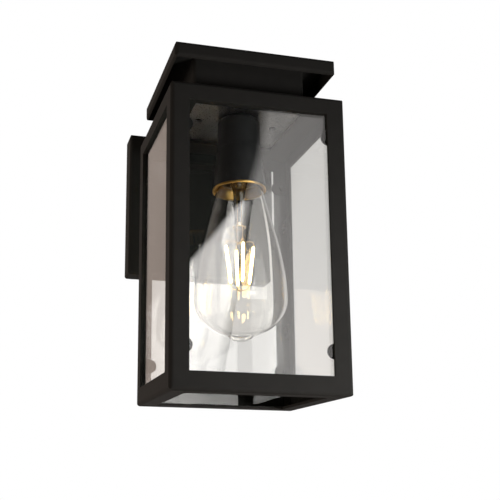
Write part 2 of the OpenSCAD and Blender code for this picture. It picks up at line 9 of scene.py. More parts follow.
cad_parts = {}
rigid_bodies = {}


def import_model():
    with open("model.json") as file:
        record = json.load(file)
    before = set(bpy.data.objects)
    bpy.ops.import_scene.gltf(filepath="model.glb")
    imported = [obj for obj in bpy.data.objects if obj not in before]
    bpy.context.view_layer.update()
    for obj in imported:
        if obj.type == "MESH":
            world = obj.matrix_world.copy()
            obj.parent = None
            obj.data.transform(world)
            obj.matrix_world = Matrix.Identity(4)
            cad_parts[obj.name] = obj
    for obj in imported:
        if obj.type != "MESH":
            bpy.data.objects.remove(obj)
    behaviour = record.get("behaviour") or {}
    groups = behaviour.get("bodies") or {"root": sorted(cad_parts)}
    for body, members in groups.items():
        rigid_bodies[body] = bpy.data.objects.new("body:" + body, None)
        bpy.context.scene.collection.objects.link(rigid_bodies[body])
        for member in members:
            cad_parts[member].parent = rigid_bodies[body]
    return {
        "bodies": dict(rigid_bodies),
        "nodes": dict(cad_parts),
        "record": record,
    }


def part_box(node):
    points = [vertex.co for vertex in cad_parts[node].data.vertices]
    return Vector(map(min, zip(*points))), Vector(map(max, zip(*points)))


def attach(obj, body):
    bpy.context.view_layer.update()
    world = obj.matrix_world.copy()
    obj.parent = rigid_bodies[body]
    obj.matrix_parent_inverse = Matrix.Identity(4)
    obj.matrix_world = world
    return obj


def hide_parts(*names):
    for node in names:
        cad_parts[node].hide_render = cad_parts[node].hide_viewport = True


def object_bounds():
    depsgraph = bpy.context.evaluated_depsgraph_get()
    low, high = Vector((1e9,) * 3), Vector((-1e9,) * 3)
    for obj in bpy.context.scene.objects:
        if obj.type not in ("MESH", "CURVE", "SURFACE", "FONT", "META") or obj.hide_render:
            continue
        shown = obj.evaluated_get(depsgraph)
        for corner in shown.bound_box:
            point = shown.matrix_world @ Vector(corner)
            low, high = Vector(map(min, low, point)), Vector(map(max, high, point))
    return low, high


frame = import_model()
cad_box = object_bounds()

MM = 0.001
TURN = 2 * math.pi
SMOOTH_ANGLE = math.radians(34)
LAMP_LOW, LAMP_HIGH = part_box("bulb_glass")
LAMP_X = (LAMP_LOW.x + LAMP_HIGH.x) / 2
LAMP_Y = (LAMP_LOW.y + LAMP_HIGH.y) / 2
LAMP_Z = LAMP_LOW.z / MM + 128.7


# ---- Camera and studio ----

def build_camera():
    """Camera below and left of the lantern, looking up and slightly right, as the photograph does."""
    data = bpy.data.cameras.new("camera")
    data.lens = 56.744
    data.sensor_width = 36
    data.shift_x = 0.19
    data.shift_y = 0.17
    data.clip_start = 0.01
    data.clip_end = 100
    yaw = math.radians(11.9453)
    pitch = math.radians(10.8541)
    roll = math.radians(0.5975)
    camera = bpy.data.objects.new("camera", data)
    camera.location = (-0.16557, -0.61686, -0.22851)
    turn = Matrix.Rotation(-yaw, 4, "Z") @ Matrix.Rotation(math.pi / 2 + pitch, 4, "X")
    camera.matrix_world = Matrix.Translation(camera.location) @ turn @ Matrix.Rotation(roll, 4, "Z")
    bpy.context.scene.collection.objects.link(camera)
    bpy.context.scene.camera = camera


def build_floor():
    """Large pale floor well below the lantern."""
    mesh = bpy.data.meshes.new("floor")
    half = 4.0
    height = -0.9
    corners = [(-half, -half), (half, -half), (half, half), (-half, half)]
    mesh.from_pydata([(x, y, height) for x, y in corners], [], [(0, 1, 2, 3)])
    floor = bpy.data.objects.new("floor", mesh)
    bpy.context.scene.collection.objects.link(floor)
    material, shader = new_material("floor_paper")
    shader.inputs["Base Color"].default_value = (0.86, 0.84, 0.82, 1)
    shader.inputs["Roughness"].default_value = 0.8
    mesh.materials.append(material)


def build_world():
    """White studio: pure white to the camera, and softly graded walls for light and reflections."""
    world = bpy.data.worlds.new("studio")
    bpy.context.scene.world = world
    world.use_nodes = True
    tree = world.node_tree
    tree.nodes.clear()
    place = tree.nodes.new("ShaderNodeTexCoord")
    split = tree.nodes.new("ShaderNodeSeparateXYZ")
    tree.links.new(place.outputs["Generated"], split.inputs[0])
    # dark behind the camera, light behind the lantern
    depth = ramp(tree, split.outputs["Y"], -1, 1, [
        (0.0, (0.020, 0.020, 0.021)), (0.35, (0.05, 0.048, 0.046)), (0.6, (0.28, 0.26, 0.24)),
        (0.85, (0.85, 0.82, 0.79)), (1.0, (1.0, 0.965, 0.945)),
    ])
    # the left wall is warm and dim, and darker bands stand behind the front window and the back post
    side = ramp(tree, split.outputs["X"], -1, 1, [
        (0.0, (0.50, 0.45, 0.41)), (0.40, (0.53, 0.45, 0.40)), (0.5, (0.80, 0.77, 0.75)),
        (0.610, (0.92, 0.92, 0.92)), (0.622, (0.58, 0.58, 0.58)), (0.668, (0.56, 0.56, 0.56)),
        (0.681, (0.74, 0.74, 0.74)), (0.72, (0.66, 0.66, 0.66)), (1.0, (0.45, 0.45, 0.46)),
    ])
    walls = tree.nodes.new("ShaderNodeMix")
    walls.data_type = "RGBA"
    walls.blend_type = "MULTIPLY"
    walls.inputs["Factor"].default_value = 1
    tree.links.new(depth, walls.inputs["A"])
    tree.links.new(side, walls.inputs["B"])
    studio = tree.nodes.new("ShaderNodeBackground")
    tree.links.new(walls.outputs["Result"], studio.inputs["Color"])
    backdrop = tree.nodes.new("ShaderNodeBackground")
    backdrop.inputs["Color"].default_value = (1, 1, 1, 1)
    path = tree.nodes.new("ShaderNodeLightPath")
    choose = tree.nodes.new("ShaderNodeMixShader")
    output = tree.nodes.new("ShaderNodeOutputWorld")
    tree.links.new(path.outputs["Is Camera Ray"], choose.inputs[0])
    tree.links.new(studio.outputs[0], choose.inputs[1])
    tree.links.new(backdrop.outputs[0], choose.inputs[2])
    tree.links.new(choose.outputs[0], output.inputs["Surface"])


def build_softbox(name, y, rows, strength):
    """Upright glowing panel, unseen by the camera itself, whose reflection shows in the panes.

    Each row is its height and its (x, glow) points; all rows have as many points."""
    mesh = bpy.data.meshes.new(name)
    count = len(rows[0][1])
    points = [(x, y, z) for z, row in rows for x, _ in row]
    faces = []
    for k in range(len(rows) - 1):
        for i in range(count - 1):
            a = k * count + i
            faces.append((a, a + 1, a + count + 1, a + count))
    mesh.from_pydata(points, [], faces)
    glow = mesh.attributes.new("glow", "FLOAT", "POINT")
    levels = [level for _, row in rows for _, level in row]
    for i, level in enumerate(levels):
        glow.data[i].value = level
    panel = bpy.data.objects.new(name, mesh)
    bpy.context.scene.collection.objects.link(panel)
    material = bpy.data.materials.new(name)
    material.use_nodes = True
    tree = material.node_tree
    tree.nodes.clear()
    level = tree.nodes.new("ShaderNodeAttribute")
    level.attribute_name = "glow"
    scaled = tree.nodes.new("ShaderNodeMath")
    scaled.operation = "MULTIPLY"
    scaled.inputs[1].default_value = strength
    tree.links.new(level.outputs["Fac"], scaled.inputs[0])
    light = tree.nodes.new("ShaderNodeEmission")
    light.inputs["Color"].default_value = (1.0, 0.965, 0.94, 1)
    tree.links.new(scaled.outputs[0], light.inputs["Strength"])
    output = tree.nodes.new("ShaderNodeOutputMaterial")
    tree.links.new(light.outputs[0], output.inputs["Surface"])
    mesh.materials.append(material)
    panel.visible_camera = False
    panel.visible_diffuse = False
    panel.visible_shadow = False


def build_softboxes():
    """Two panels in front of the lantern that meet along one leaning edge, and a low strip."""
    # half the width over which each panel fades out at that edge, and the fade at the low panel's other side
    feather = 0.0135
    side_feather = 0.020
    build_softbox("softbox_right", -1.50, [
        (z, [(edge - feather, 0), (edge + feather, level), (1.6, level)])
        for z, edge, level in (
            (-0.60, 0.256, 1.60), (0.04, 0.371, 1.16), (0.48, 0.450, 0.85), (0.60, 0.482, 0.77),
            (0.77, 0.513, 0.65), (1.50, 0.646, 0.15),
        )
    ], 2.7)
    build_softbox("softbox_low", -1.49, [
        (z, [(left - side_feather, 0), (left, level), (right - feather, level), (right + feather, 0)])
        for z, left, right, level in (
            (-0.60, -0.408, 0.256, 0.55), (0.04, 0.0985, 0.371, 0.60), (0.24, 0.2565, 0.407, 0.95),
            (0.4635, 0.433, 0.447, 1.0), (0.48, 0.438, 0.449, 0),
        )
    ], 6.2)
    build_softbox("softbox_strip", -1.48, [
        (z, [(0.12, 1.0), (0.33, 1.0), (0.40, 0.7), (0.62, 0.45)]) for z in (-0.25, 0.02)
    ], 9.0)


def area_light(name, place, target, size, power, colour, spread=180):
    """Soft light of a size in metres, unseen by the camera and in the glass; power is in watts."""
    data = bpy.data.lights.new(name, "AREA")
    data.shape = "RECTANGLE"
    data.size = size[0]
    data.size_y = size[1]
    data.energy = power
    data.color = colour
    data.spread = math.radians(spread)
    light = bpy.data.objects.new(name, data)
    light.location = place
    light.rotation_euler = (Vector(target) - Vector(place)).to_track_quat("-Z", "Y").to_euler()
    light.visible_camera = False
    light.visible_transmission = False
    light.visible_glossy = False
    bpy.context.scene.collection.objects.link(light)


def build_lights():
    """Lights for the coat, strongest at the low right corner, and the lamp's glow in the holder's mouth."""
    centre = (cad_box[0] + cad_box[1]) / 2
    area_light("light_left", (-1.4, -0.3, -0.4), centre, (1.2, 1.2), 24, (1.0, 0.84, 0.72))
    area_light("light_top", (0.2, -0.4, 1.8), centre, (1.6, 1.2), 1.5, (1.0, 0.99, 0.97))
    area_light("light_back", (0.9, 1.5, 0.6), centre, (1.4, 1.4), 4, (1.0, 1.0, 1.0))
    area_light("light_low_right", (0.36, -0.46, -0.22), (0.04, -0.16, -0.16), (0.10, 0.10), 1.15,
               (1.0, 0.99, 0.95), spread=75)
    area_light("light_below", (-0.1, -0.2, -0.8), centre, (0.5, 0.5), 1.2, (1.0, 0.78, 0.62))
    glow = bpy.data.lights.new("lamp_glow", "SPOT")
    glow.energy = 3.0
    glow.color = (1.0, 0.60, 0.26)
    glow.spot_size = math.radians(46)
    glow.spot_blend = 0.3
    glow.shadow_soft_size = 0.006
    light = bpy.data.objects.new("lamp_glow", glow)
    light.location = (LAMP_X, LAMP_Y, MM * (LAMP_Z - 60))
    light.rotation_euler = (math.pi, 0, 0)
    light.visible_camera = False
    light.visible_transmission = False
    light.visible_glossy = False
    light.parent = frame["bodies"]["bulb"]
    bpy.context.scene.collection.objects.link(light)


# ---- Material helpers ----

def new_material(name):
    material = bpy.data.materials.new(name)
    material.use_nodes = True
    shader = next(n for n in material.node_tree.nodes if n.type == "BSDF_PRINCIPLED")
    return material, shader


def ramp(tree, value, low, high, stops):
    """Colour ramp over value from low to high; stops are (place from 0 to 1, colour)."""
    spread = tree.nodes.new("ShaderNodeMapRange")
    spread.inputs["From Min"].default_value = low
    spread.inputs["From Max"].default_value = high
    tree.links.new(value, spread.inputs["Value"])
    node = tree.nodes.new("ShaderNodeValToRGB")
    elements = node.color_ramp.elements
    while len(elements) < len(stops):
        elements.new(0.5)
    for element, (place, colour) in zip(elements, stops):
        element.position = place
        element.color = (*colour, 1)
    tree.links.new(spread.outputs["Result"], node.inputs["Fac"])
    return node.outputs["Color"]


def object_place(tree, stretch=(1, 1, 1)):
    """Object coordinates in metres, stretched along the axes."""
    place = tree.nodes.new("ShaderNodeTexCoord")
    mapping = tree.nodes.new("ShaderNodeMapping")
    mapping.inputs["Scale"].default_value = stretch
    tree.links.new(place.outputs["Object"], mapping.inputs["Vector"])
    return mapping.outputs["Vector"]


def noise(tree, place, per_metre, detail=2.0, roughness=0.5):
    """Noise whose grains are about 1 / per_metre wide."""
    node = tree.nodes.new("ShaderNodeTexNoise")
    node.inputs["Scale"].default_value = per_metre
    node.inputs["Detail"].default_value = detail
    node.inputs["Roughness"].default_value = roughness
    tree.links.new(place, node.inputs["Vector"])
    return node.outputs["Fac"]


def spread_value(tree, value, low, high):
    """Maps noise, which lies mostly between 0.3 and 0.7, to the range from low to high."""
    node = tree.nodes.new("ShaderNodeMapRange")
    node.inputs["From Min"].default_value = 0.3
    node.inputs["From Max"].default_value = 0.7
    node.inputs["To Min"].default_value = low
    node.inputs["To Max"].default_value = high
    tree.links.new(value, node.inputs["Value"])
    return node.outputs["Result"]


def add_bump(tree, shader, height, depth_mm, strength):
    """Bump of a depth in millimetres on the shader's normal."""
    node = tree.nodes.new("ShaderNodeBump")
    node.inputs["Strength"].default_value = strength
    node.inputs["Distance"].default_value = depth_mm * MM
    tree.links.new(height, node.inputs["Height"])
    tree.links.new(node.outputs["Normal"], shader.inputs["Normal"])


def surface(name, dark, light, rough, grain, bump_mm, metallic=0.0, specular=0.5, stretch=(1, 1, 1)):
    """Opaque finish: two tones and a roughness range spread by noise, with a fine bump."""
    material, shader = new_material(name)
    tree = material.node_tree
    place = object_place(tree, stretch)
    broad = noise(tree, place, grain / 12, 3.0)
    fine = noise(tree, place, grain, 2.0)
    tree.links.new(ramp(tree, broad, 0.3, 0.7, [(0, dark), (1, light)]), shader.inputs["Base Color"])
    tree.links.new(spread_value(tree, fine, rough[0], rough[1]), shader.inputs["Roughness"])
    shader.inputs["Metallic"].default_value = metallic
    shader.inputs["Specular IOR Level"].default_value = specular
    add_bump(tree, shader, fine, bump_mm, 0.6)
    return material, shader


def clear_glass(name, tint, ior, shadow_tint, wave_mm):
    """Clear glass with faint waviness, which lets light through instead of casting a hard shadow."""
    material, shader = new_material(name)
    tree = material.node_tree
    shader.inputs["Base Color"].default_value = (*tint, 1)
    shader.inputs["Transmission Weight"].default_value = 1
    shader.inputs["IOR"].default_value = ior
    place = object_place(tree)
    film = noise(tree, place, 90, 2.0)
    tree.links.new(spread_value(tree, film, 0.0, 0.012), shader.inputs["Roughness"])
    add_bump(tree, shader, noise(tree, place, 25, 1.0), wave_mm, 1.0)
    path = tree.nodes.new("ShaderNodeLightPath")
    through = tree.nodes.new("ShaderNodeBsdfTransparent")
    through.inputs["Color"].default_value = (*shadow_tint, 1)
    choose = tree.nodes.new("ShaderNodeMixShader")
    output = next(n for n in tree.nodes if n.type == "OUTPUT_MATERIAL")
    tree.links.new(path.outputs["Is Shadow Ray"], choose.inputs[0])
    tree.links.new(shader.outputs[0], choose.inputs[1])
    tree.links.new(through.outputs[0], choose.inputs[2])
    tree.links.new(choose.outputs[0], output.inputs["Surface"])
    return material


# ---- Materials ----

def powder_coat():
    """Matt black powder coat with its fine orange-peel grain."""
    return surface("powder_coat", (0.0105, 0.0103, 0.0100), (0.0118, 0.0115, 0.0111), (0.48, 0.56), 1600,
                   0.03, specular=0.022)[0]


def zinc_steel():
    return surface("zinc_steel", (0.50, 0.51, 0.53), (0.66, 0.66, 0.66), (0.24, 0.40), 900, 0.02,
                   metallic=1.0, stretch=(1, 1, 0.15))[0]


def grommet_rubber():
    return surface("grommet_rubber", (0.022, 0.022, 0.022), (0.035, 0.034, 0.033), (0.60, 0.75), 700,
                   0.03)[0]


def brass():
    return surface("brass", (0.62, 0.43, 0.16), (0.74, 0.54, 0.24), (0.22, 0.36), 800, 0.02,
                   metallic=1.0)[0]


def brass_ring():
    return surface("brass_ring", (0.66, 0.40, 0.10), (0.82, 0.54, 0.18), (0.28, 0.40), 900, 0.02,
                   metallic=1.0)[0]


def terminal_plastic():
    material, shader = surface("terminal_plastic", (0.74, 0.72, 0.66), (0.80, 0.78, 0.73), (0.38, 0.48),
                               600, 0.02)
    shader.inputs["Subsurface Weight"].default_value = 0.15
    shader.inputs["Subsurface Radius"].default_value = (0.002, 0.002, 0.0015)
    return material


def holder_plastic():
    """Black moulded phenolic with a soft gloss."""
    return surface("holder_plastic", (0.0075, 0.0075, 0.0080), (0.0120, 0.0120, 0.0125), (0.34, 0.44), 900,
                   0.02, specular=0.16)[0]


def ceramic():
    return surface("ceramic", (0.80, 0.78, 0.73), (0.86, 0.85, 0.81), (0.45, 0.60), 700, 0.04)[0]


def wire_sleeve(name, dark, light):
    return surface(name, dark, light, (0.38, 0.50), 500, 0.02)[0]


def wire_green():
    """Green sleeve with a yellow stripe along one side."""
    material, shader = surface("wire_green", (0.05, 0.30, 0.05), (0.07, 0.36, 0.07), (0.38, 0.50), 500,
                               0.02)
    tree = material.node_tree
    uv = tree.nodes.new("ShaderNodeUVMap")
    split = tree.nodes.new("ShaderNodeSeparateXYZ")
    tree.links.new(uv.outputs["UV"], split.inputs[0])
    stripes = ramp(tree, split.outputs["X"], 0, 1, [
        (0.0, (0.05, 0.33, 0.06)), (0.34, (0.05, 0.33, 0.06)), (0.36, (0.80, 0.66, 0.05)),
        (0.64, (0.80, 0.66, 0.05)), (0.66, (0.05, 0.33, 0.06)), (1.0, (0.05, 0.33, 0.06)),
    ])
    tree.links.new(stripes, shader.inputs["Base Color"])
    return material


def cap_metal():
    return surface("cap_metal", (0.60, 0.50, 0.32), (0.76, 0.68, 0.50), (0.22, 0.38), 700, 0.02,
                   metallic=1.0)[0]


def cap_insulator():
    return surface("cap_insulator", (0.012, 0.012, 0.014), (0.020, 0.020, 0.024), (0.12, 0.22), 400,
                   0.02)[0]


def solder():
    return surface("solder", (0.42, 0.42, 0.43), (0.60, 0.60, 0.61), (0.35, 0.50), 500, 0.05,
                   metallic=1.0)[0]


def support_wire():
    return surface("support_wire", (0.72, 0.54, 0.28), (0.84, 0.68, 0.42), (0.24, 0.36), 900, 0.01,
                   metallic=1.0)[0]


def led_filament():
    """Glowing phosphor, a little deeper in colour between the chips under it."""
    material, shader = surface("led_filament", (0.90, 0.62, 0.18), (1.0, 0.72, 0.26), (0.5, 0.6), 900,
                               0.03)
    tree = material.node_tree
    chips = noise(tree, object_place(tree), 700, 1.0)
    glow = ramp(tree, chips, 0.3, 0.7, [(0, (1.0, 0.64, 0.20)), (1, (1.0, 0.78, 0.36))])
    tree.links.new(glow, shader.inputs["Emission Color"])
    shader.inputs["Emission Strength"].default_value = 14.0
    return material


MATERIALS = {
    "powder_coat": powder_coat(),
    "zinc_steel": zinc_steel(),
    "grommet_rubber": grommet_rubber(),
    "brass": brass(),
    "brass_ring": brass_ring(),
    "terminal_plastic": terminal_plastic(),
    "window_glass": clear_glass("window_glass", (0.975, 0.985, 0.978), 1.5, (0.90, 0.93, 0.92), 0.02),
    "holder_plastic": holder_plastic(),
    "ceramic": ceramic(),
    "wire_brown": wire_sleeve("wire_brown", (0.10, 0.045, 0.02), (0.14, 0.065, 0.03)),
    "wire_blue": wire_sleeve("wire_blue", (0.02, 0.09, 0.36), (0.03, 0.12, 0.44)),
    "wire_green": wire_green(),
    "bulb_glass": clear_glass("bulb_glass", (0.99, 0.985, 0.97), 1.45, (0.95, 0.94, 0.92), 0.03),
    "cap_metal": cap_metal(),
    "cap_insulator": cap_insulator(),
    "solder": solder(),
    "stem_glass": clear_glass("stem_glass", (0.98, 0.98, 0.96), 1.45, (0.92, 0.92, 0.90), 0.02),
    "led_filament": led_filament(),
    "support_wire": support_wire(),
}


def coat_frame():
    """Gives every carried-over CAD node the material of its slot, and shades its rounds smoothly."""
    slots = {part["node"]: part["material_slot"] for part in frame["record"]["subparts"]}
    for name, node in frame["nodes"].items():
        node.data.materials.clear()
        node.data.materials.append(MATERIALS[slots[name]])
        node.data.shade_smooth()
        node.data.set_sharp_from_angle(angle=SMOOTH_ANGLE)


# ---- Mesh helpers ----

def add_piece(name, mesh, body, slot, nodes=()):
    """Links a finished mesh as a piece that rides on a body and stands for the given CAD nodes."""
    mesh.shade_smooth()
    mesh.set_sharp_from_angle(angle=SMOOTH_ANGLE)
    mesh.materials.append(MATERIALS[slot])
    piece = bpy.data.objects.new(name, mesh)
    bpy.context.scene.collection.objects.link(piece)
    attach(piece, body)
    if nodes:
        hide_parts(*nodes)


def mesh_from(name, points, faces, uvs=None):
    """Mesh from points in metres, with welded doubles and faces turned outwards."""
    mesh = bpy.data.meshes.new(name)
    mesh.from_pydata([tuple(p) for p in points], [], faces)
    if uvs:
        layer = mesh.uv_layers.new(name="UVMap")
        for loop in mesh.loops:
            layer.data[loop.index].uv = uvs[loop.vertex_index]
    shape = bmesh.new()
    shape.from_mesh(mesh)
    bmesh.ops.remove_doubles(shape, verts=shape.verts, dist=1e-6)
    bmesh.ops.recalc_face_normals(shape, faces=shape.faces)
    shape.to_mesh(mesh)
    shape.free()
    return mesh


def smooth_path(points, steps):
    """Catmull-Rom curve through the points, with the given number of steps between each pair."""
    points = [Vector(p) for p in points]
    ends = [points[0] * 2 - points[1]] + points + [points[-1] * 2 - points[-2]]
    path = []
    for i in range(1, len(ends) - 2):
        a, b, c, d = ends[i - 1:i + 3]
        for k in range(steps):
            t = k / steps
            path.append(0.5 * (2 * b + (c - a) * t + (2 * a - 5 * b + 4 * c - d) * t ** 2
                               + (3 * b - a - 3 * c + d) * t ** 3))
    path.append(points[-1])
    return path


def lathe(profile, segments=96, centre=(0.0, 0.0)):
    """Points and faces of a closed profile of (radius, height) in millimetres, turned round an axis."""
    points = []
    for i in range(segments):
        a = TURN * i / segments
        for radius, height in profile:
            points.append((centre[0] + radius * MM * math.cos(a), centre[1] + radius * MM * math.sin(a),
                           height * MM))
    rows = len(profile)
    faces = []
    for i in range(segments):
        j = (i + 1) % segments
        for k in range(rows):
            n = (k + 1) % rows
            quad = [i * rows + k, j * rows + k, j * rows + n, i * rows + n]
            on_axis = [profile[k][0] < 1e-6, profile[n][0] < 1e-6]
            if all(on_axis):
                continue
            if on_axis[0]:
                quad = [quad[0], quad[2], quad[3]]
            elif on_axis[1]:
                quad = [quad[0], quad[1], quad[2]]
            faces.append(tuple(quad))
    return points, faces


def tube(path, radius, sides=12):
    """Points, faces and UVs of a round tube along a path in metres, closed by a disc at each end."""
    points = []
    uvs = []
    faces = []
    tangents = []
    for i in range(len(path)):
        before = path[max(i - 1, 0)]
        after = path[min(i + 1, len(path) - 1)]
        tangents.append((after - before).normalized())
    across = tangents[0].orthogonal().normalized()
    for i, centre in enumerate(path):
        across = (across - tangents[i] * across.dot(tangents[i])).normalized()
        over = tangents[i].cross(across)
        for k in range(sides):
            a = TURN * k / sides
            points.append(centre + radius * (across * math.cos(a) + over * math.sin(a)))
            uvs.append((abs(2 * k / sides - 1), i / len(path)))
    for i in range(len(path) - 1):
        for k in range(sides):
            n = (k + 1) % sides
            faces.append((i * sides + k, i * sides + n, (i + 1) * sides + n, (i + 1) * sides + k))
    faces.append(tuple(range(sides)))
    faces.append(tuple(range((len(path) - 1) * sides, len(path) * sides)))
    return points, faces, uvs


def joined(name, parts):
    """One mesh from several (points, faces) pairs."""
    points = []
    faces = []
    for part in parts:
        start = len(points)
        points.extend(Vector(p) for p in part[0])
        faces.extend(tuple(index + start for index in face) for face in part[1])
    return mesh_from(name, points, faces)


def rounded(profile, radius, steps=3):
    """Profile with each of its corners rounded by up to the given radius."""
    result = []
    count = len(profile)
    for i in range(count):
        before = Vector(profile[i - 1])
        corner = Vector(profile[i])
        after = Vector(profile[(i + 1) % count])
        if corner.x < 1e-6:
            result.append(tuple(corner))
            continue
        into = before - corner
        out = after - corner
        reach = min(radius, into.length * 0.45, out.length * 0.45)
        a = corner + into.normalized() * reach
        b = corner + out.normalized() * reach
        for k in range(steps + 1):
            t = k / steps
            result.append(tuple(a * (1 - t) ** 2 + corner * 2 * t * (1 - t) + b * t ** 2))
    return result


# ---- Lamp ----

LAMP_AXIS = (LAMP_X, LAMP_Y)
TIP_Z = LAMP_LOW.z / MM
BULB_R = (LAMP_HIGH.x - LAMP_LOW.x) / 2 / MM
WIDEST_Z = TIP_Z + 29.2
NECK_Z = TIP_Z + 106.7
NECK_R = 16.6
NUB_R = 9.0
DOME_H = 26.3
WALL = 0.8
THREAD_PITCH = 3.629
FILAMENT_TURN = math.radians(-94)
FILAMENT_HIGH = (9.9, -60.3)
FILAMENT_LOW = (6.3, -89.3)


def step_radius(t, start, end, rise):
    """Smooth step from start to end with a given slope at its start."""
    return ((2 * t ** 3 - 3 * t ** 2 + 1) * start + (t ** 3 - 2 * t ** 2 + t) * rise
            + (3 * t ** 2 - 2 * t ** 3) * end)


def bulb_outline(inset):
    """Outline of the bulb's glass, shrunk by inset, from the neck down to the tip, in millimetres."""
    radius = BULB_R - inset
    fall = NECK_Z - WIDEST_Z
    outline = [(12.3 - inset, NECK_Z + 14), (12.5 - inset, NECK_Z + 6.5), (13.6 - inset, NECK_Z + 4.4),
               (15.3 - inset, NECK_Z + 2.1)]
    for i in range(33):
        t = i / 32
        outline.append((step_radius(t, NECK_R - inset, radius, 0.24 * fall), NECK_Z - t * fall))
    nub_angle = math.acos((NUB_R - inset) / radius)
    for i in range(1, 24):
        a = nub_angle * i / 24
        outline.append((radius * math.cos(a), WIDEST_Z - (DOME_H - inset) * math.sin(a)))
    nub_top = WIDEST_Z - (DOME_H - inset) * math.sin(nub_angle)
    drop = TIP_Z + inset - nub_top
    # the dome flows into the nub through a short hollow
    outline.append((NUB_R - inset - 0.2, nub_top))
    for i in range(1, 13):
        a = math.pi / 2 * i / 12
        outline.append(((NUB_R - inset - 0.6) * math.cos(a), nub_top + drop * math.sin(a)))
    outline[-1] = (0.0, outline[-1][1])
    return outline


def build_bulb_glass():
    """Thin blown envelope, turned round the lamp's axis."""
    outer = bulb_outline(0.0)
    inner = bulb_outline(WALL)
    points, faces = lathe(outer + inner[::-1], 128, LAMP_AXIS)
    mesh = mesh_from("bulb_envelope", points, faces)
    add_piece("bulb_envelope", mesh, "bulb", "bulb_glass", ["bulb_glass"])


def build_bulb_cap():
    """Screw cap with its rolled round thread and a crimped lower rim."""
    low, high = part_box("bulb_cap")
    bottom = low.z / MM
    top = high.z / MM
    outer_r = (high.x - low.x) / 2 / MM
    depth = 0.75
    fade_h = 1.2
    segments = 96
    thread_low = bottom + 2.6
    thread_high = top - 2.6
    heights = [bottom + 20 * i / 100 for i in range(101)]
    rings = []
    for height in heights:
        from_low = max(0.0, (height - thread_low) / fade_h)
        from_high = max(0.0, (thread_high - height) / fade_h)
        fade = min(1.0, from_low, from_high)
        ring = []
        for i in range(segments):
            a = TURN * i / segments
            wave = 0.5 + 0.5 * math.cos(TURN * (height / THREAD_PITCH - i / segments))
            radius = outer_r - depth * fade * wave
            ring.append((radius, height, a))
        rings.append(ring)
    shoulder = [(outer_r - 0.3, bottom + 20.3), (11.2, top - 0.2), (10.6, top), (9.0, top)]
    inside = [(9.0, top - 0.4), (10.4, top - 0.4), (outer_r - 1.2, bottom + 19.5),
              (outer_r - 1.2, bottom + 1.0), (outer_r - 0.5, bottom)]
    for radius, height in shoulder + inside:
        rings.append([(radius, height, TURN * i / segments) for i in range(segments)])
    points = []
    for ring in rings:
        for radius, height, a in ring:
            points.append((LAMP_X + radius * MM * math.cos(a), LAMP_Y + radius * MM * math.sin(a),
                           height * MM))
    faces = []
    for k in range(len(rings)):
        n = (k + 1) % len(rings)
        for i in range(segments):
            j = (i + 1) % segments
            faces.append((k * segments + i, k * segments + j, n * segments + j, n * segments + i))
    add_piece("bulb_screw_cap", mesh_from("bulb_screw_cap", points, faces), "bulb", "cap_metal",
              ["bulb_cap"])


def stem_ring(height, half_x, half_y, count=32):
    """Ring of points of a rounded flat outline at a height of the stem."""
    ring = []
    for i in range(count):
        a = TURN * i / count
        c = math.cos(a)
        s = math.sin(a)
        ring.append(Vector((LAMP_X + MM * half_x * math.copysign(abs(c) ** 0.8, c),
                            LAMP_Y + MM * half_y * math.copysign(abs(s) ** 0.8, s), height * MM)))
    return ring


def build_stem():
    """Glass stem: flare in the cap, hollow narrowing tube, flat press and round tail."""
    low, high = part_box("bulb_stem")
    top = high.z / MM
    bottom = low.z / MM
    # sections as (height, half width, half depth), up the hollow and down the outside
    inside = [
        (top - 37.0, 1.0, 0.6), (top - 35.5, 2.2, 1.9), (top - 25.0, 2.8, 2.7), (top - 13.0, 3.3, 3.3),
        (top - 5.0, 5.2, 5.2), (top - 2.5, 7.8, 7.8), (top, 10.4, 10.4),
    ]
    outside = [
        (top, 11.4, 11.4), (top - 1.0, 11.3, 11.3), (top - 2.5, 8.6, 8.6), (top - 5.0, 6.0, 6.0),
        (top - 13.0, 4.1, 4.1), (top - 25.0, 3.6, 3.5), (top - 35.0, 3.3, 2.9), (top - 38.5, 3.3, 1.7),
        (top - 42.0, 3.2, 1.3), (top - 48.0, 3.0, 1.25), (top - 49.2, 1.9, 1.2), (top - 50.2, 1.35, 1.3),
        (bottom + 1.2, 1.2, 1.2), (bottom + 0.4, 0.9, 0.9), (bottom, 0.3, 0.3),
    ]
    rings = [stem_ring(*section) for section in inside + outside]
    count = len(rings[0])
    points = [p for ring in rings for p in ring]
    faces = []
    for k in range(len(rings) - 1):
        for i in range(count):
            j = (i + 1) % count
            faces.append((k * count + i, k * count + j, (k + 1) * count + j, (k + 1) * count + i))
    faces.append(tuple(range(count)))
    faces.append(tuple(range((len(rings) - 1) * count, len(rings) * count)))
    add_piece("bulb_glass_stem", mesh_from("bulb_glass_stem", points, faces), "bulb", "stem_glass",
              ["bulb_stem"])


def lamp_point(index, radius, height):
    """Point near the i-th filament, radius and height in millimetres."""
    a = FILAMENT_TURN + TURN * index / 4
    return Vector((LAMP_X + MM * radius * math.cos(a), LAMP_Y + MM * radius * math.sin(a),
                   MM * (LAMP_Z + height)))


def build_filaments():
    """Four phosphor-coated sticks with softly rounded ends."""
    parts = []
    sides = 16
    for i in range(4):
        top = lamp_point(i, *FILAMENT_HIGH)
        low = lamp_point(i, *FILAMENT_LOW)
        path = []
        widths = []
        for t, width in [(0.035, 0.35), (0.045, 0.72), (0.07, 0.95), (0.12, 1.03), (0.5, 1.05),
                         (0.88, 1.03), (0.93, 0.95), (0.955, 0.72), (0.965, 0.35)]:
            path.append(top.lerp(low, t))
            widths.append(width)
        points, faces, _ = tube(path, 1.0, sides)
        for k, centre in enumerate(path):
            for n in range(sides):
                index = k * sides + n
                points[index] = centre + (points[index] - centre) * widths[k] * MM
        parts.append((points, faces))
    add_piece("bulb_led_sticks", joined("bulb_led_sticks", parts), "bulb", "led_filament",
              ["bulb_filaments"])


